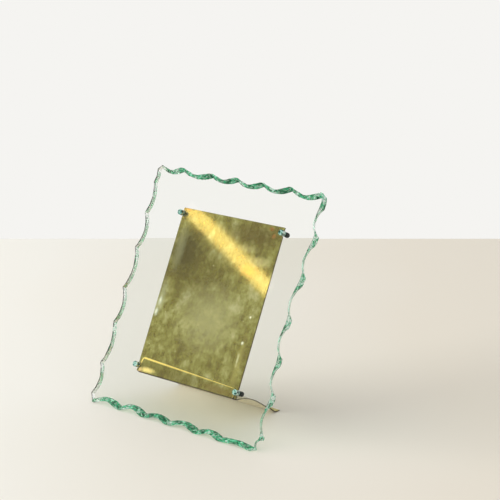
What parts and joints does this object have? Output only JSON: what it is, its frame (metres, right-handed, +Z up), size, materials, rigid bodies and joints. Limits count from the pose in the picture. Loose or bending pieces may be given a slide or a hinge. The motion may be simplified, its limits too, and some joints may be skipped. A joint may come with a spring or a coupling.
{
  "type": "photo frame",
  "caption": "Tabletop photo frame: a leaning slab of thick clear glass with a scalloped, chipped edge, a notched brass back plate held on sleeved studs, and a curved brass easel leg.",
  "frame": {"origin": "on the table, at the centre of the standing frame's footprint box", "axes": "+X to the right as seen from the front, +Y towards the easel leg at the back, +Z up from the table; the glass leans back from the front"},
  "size_m": [0.228, 0.1311, 0.2432],
  "materials": {
    "clear_glass": "polished faces, hand-chipped green edges",
    "patinated_brass": "brushed, tarnished olive brown",
    "bent_brass_sheet": "brushed, tarnished, darker than the plate",
    "stud_brass": "turned, dull",
    "pale_cement": "matt, set hard",
    "black_rubber": "smooth matt black"
  },
  "bodies": {
    "back_stand": {"back_plate": "patinated_brass", "easel_leg": "bent_brass_sheet"},
    "glass_front": {"glass_slab": "clear_glass", "stud_top_left": "stud_brass", "stud_top_right": "stud_brass", "stud_bottom_left": "stud_brass", "stud_bottom_right": "stud_brass", "cement_plug_top_left": "pale_cement", "cement_plug_top_right": "pale_cement", "cement_plug_bottom_left": "pale_cement", "cement_plug_bottom_right": "pale_cement", "rubber_sleeve_top_left": "black_rubber", "rubber_sleeve_top_right": "black_rubber", "rubber_sleeve_bottom_left": "black_rubber", "rubber_sleeve_bottom_right": "black_rubber"}
  },
  "joints": [
    {"name": "slab_pull_off", "type": "slide", "parent": "back_stand", "child": "glass_front", "axis": [0, -0.891, 0.454], "range_m": [0, 0.025]}
  ]
}
